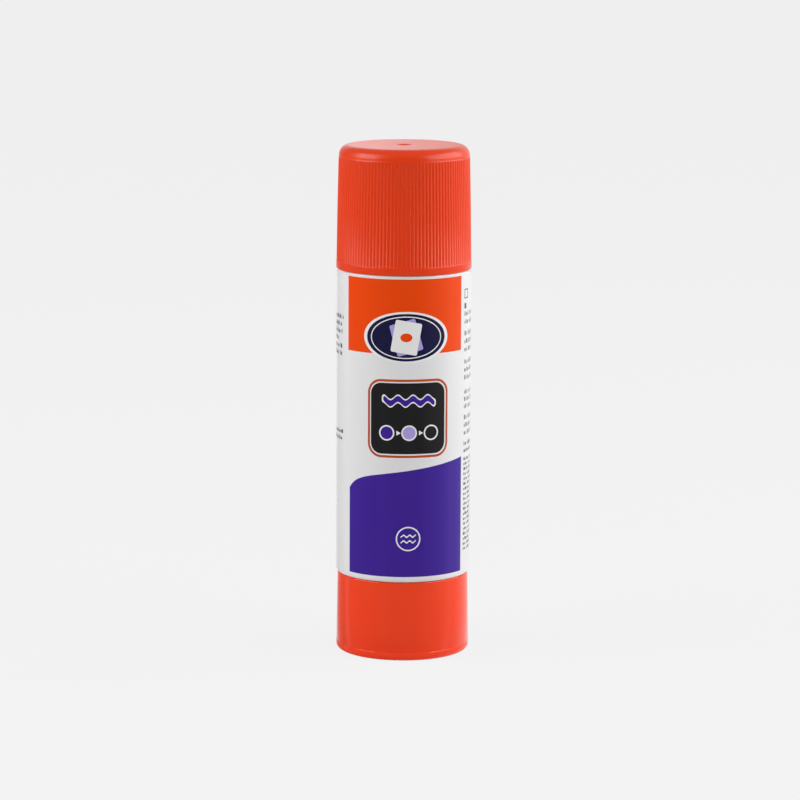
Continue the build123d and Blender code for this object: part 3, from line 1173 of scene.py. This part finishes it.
def finishInk(piece, layer, ink):
    # a layer is half as thick as it stands out from the film
    lift = inkLift * layer * mm
    bpy.ops.mesh.select_all(action="SELECT")
    bpy.ops.transform.translate(value=(0, -lift, 0))
    bpy.ops.mesh.extrude_region_move(TRANSFORM_OT_translate={"value": (0, lift / 2, 0)})
    cutColumns(piece, inkStep)
    bpy.ops.mesh.select_all(action="SELECT")
    bpy.ops.mesh.normals_make_consistent(inside=False)
    bendRound(piece)
    dress(piece, ink)
    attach(piece, "barrel")


panels = {
    # a field is its left, foot, right and top edge
    "orange": (-13.92, 67.8, 14.83, 84.0),
    "purple": (-13.31, 18.85, 15.23, 44.3),
    "purpleLean": 4.0,                   # its top edge comes down by this towards the left
    "purpleShoulder": 2.65,              # and by this more over a short curve at that end
    "purpleShoulderShare": 0.078,
    "keyline": (-8.0, 45.15, 10.4, 62.3),      # thin line round the dark field
    "keylineWidth": 0.52,
    "keylineCorner": 3.1,
    "dark": (-7.25, 45.98, 9.55, 61.5),
    "darkCorner": 2.4,
}


def makePanels():
    orange = startInk("print_orange_field")
    addPlate(panels["orange"])
    finishInk(orange, 1, "orangeInk")

    purple = startInk("print_purple_field")
    addPlate(panels["purple"])
    left, _, right, top = panels["purple"]

    def edgeAt(column):
        share = (column - left) / (right - left)
        shoulder = panels["purpleShoulder"] * math.exp(-share / panels["purpleShoulderShare"])
        return -panels["purpleLean"] * (1 - share) - shoulder

    liftColumns(purple, inkStep / 2, lambda place: place.z / mm > top - hair, edgeAt)
    finishInk(purple, 1, "purpleInk")

    keyline = startInk("print_keyline")
    addPlate(panels["keyline"], corner=panels["keylineCorner"])
    keepRim(panels["keylineWidth"])
    finishInk(keyline, 1, "keylineInk")

    dark = startInk("print_dark_field")
    addPlate(panels["dark"], corner=panels["darkCorner"])
    finishInk(dark, 1, "darkInk")


makePanels()
print("label fields printed")


badge = {
    "middle": (0.6, 71.4),
    "radius": 5.6,
    "stretch": 1.72,                     # times wider than high
    "points": 96,
    "whiteRim": 0.45,
    "innerRimFrom": 1.0,
    "innerRim": 0.22,
    "sheet": (2.9, 3.5),                 # half width and half height of the paper
    "sheetCorner": 0.4,
    "rearTilt": 16,                      # degrees
    "frontTilt": -10,
    "dabRadius": 0.95,                   # a dab of glue on the paper
    "dabStretch": 1.35,
}


def fieldRound(place, halfWidth, halfHeight):
    return (
        place[0] - halfWidth, place[1] - halfHeight,
        place[0] + halfWidth, place[1] + halfHeight,
    )


def addSquiggle(piece, place, halfWidth, halfHeight, rise, wave, corner=0):
    addPlate(fieldRound(place, halfWidth, halfHeight), corner=corner)
    liftColumns(
        piece, wave / waveSteps, lambda point: True,
        lambda column: rise * math.sin(math.tau * (column - place[0]) / wave),
    )


def addBadgeOval(inwards):
    addOval(badge["middle"], badge["radius"] - inwards, badge["stretch"], badge["points"])


def makeBadge():
    rim = startInk("print_badge_rim")
    addBadgeOval(0)
    finishInk(rim, 2, "whiteInk")

    field = startInk("print_badge_field")
    addBadgeOval(badge["whiteRim"])
    finishInk(field, 3, "navyInk")

    ring = startInk("print_badge_ring")
    addBadgeOval(badge["innerRimFrom"])
    keepRim(badge["innerRim"])
    finishInk(ring, 4, "whiteInk")

    sheet = fieldRound(badge["middle"], *badge["sheet"])
    rear = startInk("print_sheet_rear")
    addPlate(sheet, badge["rearTilt"], badge["sheetCorner"])
    finishInk(rear, 4, "lilacInk")

    front = startInk("print_sheet_front")
    addPlate(sheet, badge["frontTilt"], badge["sheetCorner"])
    finishInk(front, 5, "whiteInk")

    dab = startInk("print_sheet_dab")
    addOval(badge["middle"], badge["dabRadius"], badge["dabStretch"])
    finishInk(dab, 6, "orangeInk")


makeBadge()
print("badge printed")


signs = {
    "trace": (1.3, 57.6),                # glue trace in the dark field
    "traceHalfWidth": 5.7,
    "traceHalfHeight": 0.66,
    "traceCorner": 0.594,
    "traceRise": 0.5,
    "traceEdge": 0.3,
    "traceEdgeCorner": 0.66,
    "traceWave": 3.26,                   # with three and a half waves both ends lie level
    "dotsHeight": 50.6,                  # dots: the glue as it dries
    "dotCount": 3,
    "dotsFrom": -3.6,
    "dotsStep": 4.9,
    "dotRadius": 1.7,
    "dotRim": 0.32,
    "arrowRadius": 0.62,                 # of the triangles between the dots
    "arrowPoints": 3,
    "wash": (1.2, 27.3),                 # ring with two waves in the purple field
    "washRadius": 2.7,
    "washRim": 0.3,
    "waveHalfWidth": 1.65,
    "waveHalfHeight": 0.17,
    "waveRise": 0.22,
    "waveLength": 1.32,
    "waveGap": 0.62,
}


def makeSigns():
    dots = [
        (signs["dotsFrom"] + index * signs["dotsStep"], signs["dotsHeight"])
        for index in range(signs["dotCount"])
    ]
    under = startInk("print_trace_edge")
    addSquiggle(
        under, signs["trace"], signs["traceHalfWidth"] + signs["traceEdge"],
        signs["traceHalfHeight"] + signs["traceEdge"], signs["traceRise"], signs["traceWave"],
        signs["traceEdgeCorner"],
    )
    finishInk(under, 2, "whiteInk")
    trace = startInk("print_trace")
    addSquiggle(
        trace, signs["trace"], signs["traceHalfWidth"], signs["traceHalfHeight"],
        signs["traceRise"], signs["traceWave"], signs["traceCorner"],
    )
    finishInk(trace, 3, "purpleInk")

    rims = startInk("print_dot_rims")
    for dot in dots:
        addOval(dot, signs["dotRadius"])
        keepRim(signs["dotRim"])
    for first, second in zip(dots, dots[1:]):
        between = (first[0] + second[0]) / 2
        addOval((between, signs["dotsHeight"]), signs["arrowRadius"], points=signs["arrowPoints"])
        bpy.ops.transform.rotate(
            value=-math.pi / 2, orient_axis="Y",
            center_override=(between * mm, 0, signs["dotsHeight"] * mm),
        )
    finishInk(rims, 2, "whiteInk")
    for name, dot, ink in (("wet", dots[0], "purpleInk"), ("drying", dots[1], "lilacInk")):
        fill = startInk("print_dot_" + name)
        addOval(dot, signs["dotRadius"] - signs["dotRim"])
        finishInk(fill, 2, ink)

    ring = startInk("print_wash_ring")
    addOval(signs["wash"], signs["washRadius"])
    keepRim(signs["washRim"])
    finishInk(ring, 2, "whiteInk")
    for name, side in (("upper", 1), ("lower", -1)):
        wave = startInk("print_wash_wave_" + name)
        middle = (signs["wash"][0], signs["wash"][1] + side * signs["waveGap"])
        addSquiggle(
            wave, middle, signs["waveHalfWidth"], signs["waveHalfHeight"],
            signs["waveRise"], signs["waveLength"],
        )
        finishInk(wave, 2, "whiteInk")


makeSigns()
print("signs printed")


dashes = {
    # a dash has a width and a share of its line's height
    "shapes": (
        (0.5, 1), (0.8, 0.7), (0.35, 1), (0.65, 0.75), (0.5, 0.7), (0.9, 1), (0.4, 0.75),
        (0.7, 1), (0.3, 0.7),
    ),
    "gap": 0.28,
    "clusterGap": 0.75,
    "clusters": (3, 2, 4, 2, 3, 5),      # dashes in one cluster after another
    "endShares": (1, 0.9, 0.96, 0.68, 0.93),     # of the width, line after line
    # a side has a start, an end and blocks, by their top, lines, line step, height and ink
    "sides": {
        "right": (16.4, 27.5, (
            (76.0, 2, 1.75, 1.0, "paleGreyInk"),
            (71.7, 3, 1.75, 1.0, "paleGreyInk"),
            (65.5, 3, 1.75, 1.0, "paleGreyInk"),
            (58.8, 3, 1.6, 0.95, "paleGreyInk"),
            (53.2, 3, 1.7, 1.0, "paleGreyInk"),
            (47.3, 2, 1.5, 0.85, "greyInk"),
            (43.8, 19, 1.11, 0.66, "greyInk"),
        )),
        "left": (-25.5, -15.6, (
            (75.2, 6, 1.6, 0.95, "greyInk"),
            (49.9, 2, 1.5, 0.8, "greyInk"),
        )),
    },
    "mark": (16.3, 78.8, 18.2, 80.9),    # open rectangle above the lines
    "markRim": 0.26,
    "smallMark": (16.3, 76.6, 17.3, 77.8),     # full one below it
}


def addLine(start, end, foot, height, cluster):
    # clusters of dashes from start until the next dash would pass the end; their count goes on
    # from line to line
    place = start
    while place < end:
        for index in range(dashes["clusters"][cluster % len(dashes["clusters"])]):
            width, share = dashes["shapes"][(cluster * 2 + index) % len(dashes["shapes"])]
            if place + width > end:
                return cluster + 1
            addPlate((place, foot, place + width, foot + height * share))
            place += width + dashes["gap"]
        place += dashes["clusterGap"] - dashes["gap"]
        cluster += 1
    return cluster


def makeDashes():
    for side, (start, end, blocks) in dashes["sides"].items():
        cluster = 0
        for index, (top, lines, step, height, ink) in enumerate(blocks):
            block = startInk("print_lines_" + side + "_" + str(index + 1))
            for line in range(lines):
                share = dashes["endShares"][line % len(dashes["endShares"])]
                foot = top - height - step * line
                lineEnd = start + (end - start) * share
                cluster = addLine(start, lineEnd, foot, height, cluster)
            finishInk(block, 1, ink)

    mark = startInk("print_mark")
    addPlate(dashes["mark"])
    keepRim(dashes["markRim"])
    addPlate(dashes["smallMark"])
    finishInk(mark, 1, "greyInk")


makeDashes()
print("dashes printed")


# Inner pieces show their CAD solids
for name, finish, slot in (
    ("lead_screw", "whitePlastic", "white_plastic"),
    ("glue_carrier", "whitePlastic", "white_plastic"),
    ("cap_liner", "linerPlastic", "liner_plastic"),
):
    dress(cadNodes[name], finish)
print("inner pieces dressed")
